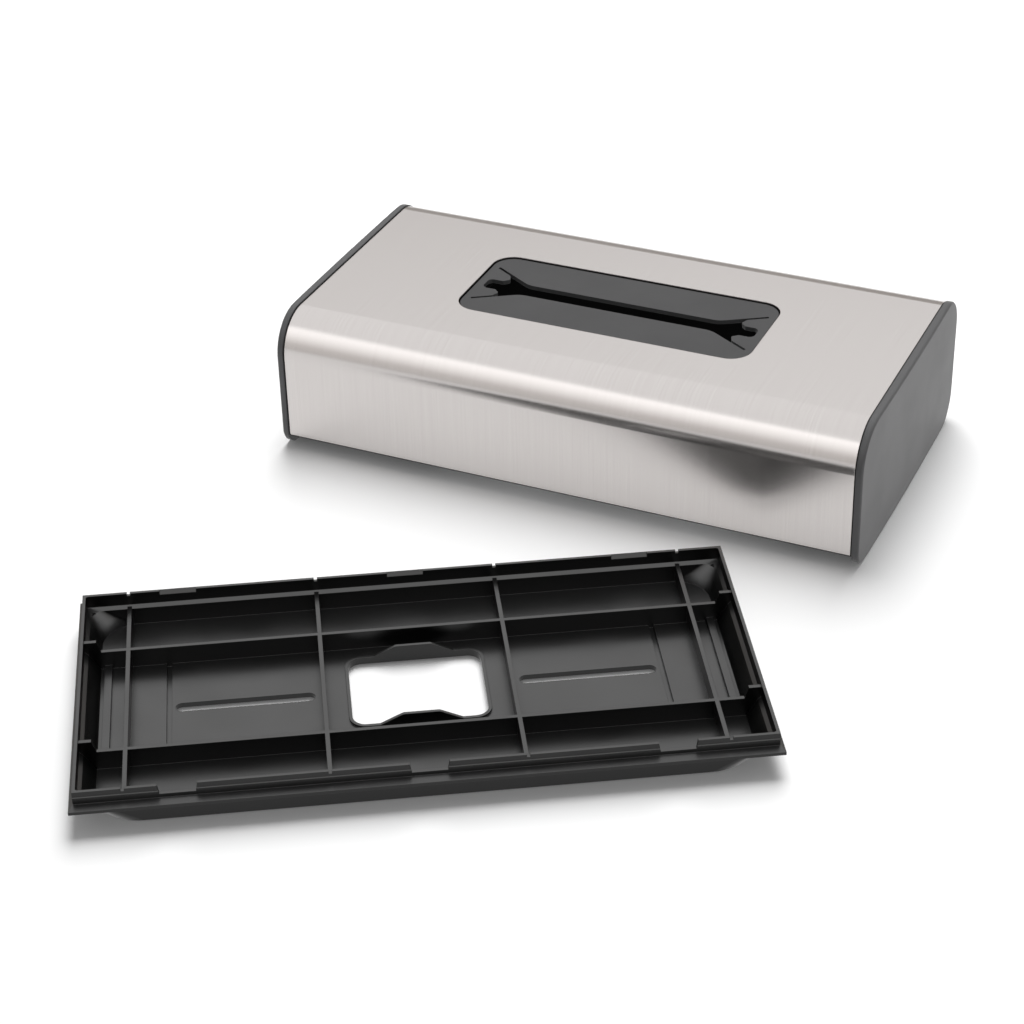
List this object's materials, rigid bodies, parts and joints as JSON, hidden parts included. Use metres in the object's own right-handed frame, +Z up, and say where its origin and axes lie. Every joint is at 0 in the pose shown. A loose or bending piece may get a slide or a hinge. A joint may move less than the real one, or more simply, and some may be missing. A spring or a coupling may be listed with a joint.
{
  "type": "facial tissue dispenser",
  "caption": "Low tissue dispenser: a steel-wrapped lift-off cover with a slotted insert and end caps, beside its ribbed black base tray.",
  "frame": {"origin": "on the table, under the middle of the box round the tray and the cover that stands beside it", "axes": "+Z up from the table; X along the tray's length, +X to the right of someone who faces the tray's long front edge; +Y to the back, where the cover stands turned by 30.2 degrees"},
  "size_m": [0.3637, 0.3603, 0.06],
  "materials": {
    "tray_black": "moulded, fine satin texture",
    "sleeve_steel": "brushed round the profile",
    "liner_black": "moulded, satin",
    "plate_grey": "moulded, fine matte texture",
    "cap_grey": "moulded, satin",
    "screw_zinc": "zinc plated",
    "foot_rubber": "matte"
  },
  "bodies": {
    "tray": {"base_tray": "tray_black", "foot_front_left": "foot_rubber", "foot_front_right": "foot_rubber", "foot_back_left": "foot_rubber", "foot_back_right": "foot_rubber"},
    "cover": {"steel_sleeve": "sleeve_steel", "inner_liner": "liner_black", "aperture_plate": "plate_grey", "end_cap_left": "cap_grey", "end_cap_right": "cap_grey", "cap_screws_left": "screw_zinc", "cap_screws_right": "screw_zinc"}
  },
  "joints": [
    {"name": "cover_lift", "type": "slide", "parent": "tray", "child": "cover", "axis": [0, 0, 1], "range_m": [0, 0.12]}
  ]
}
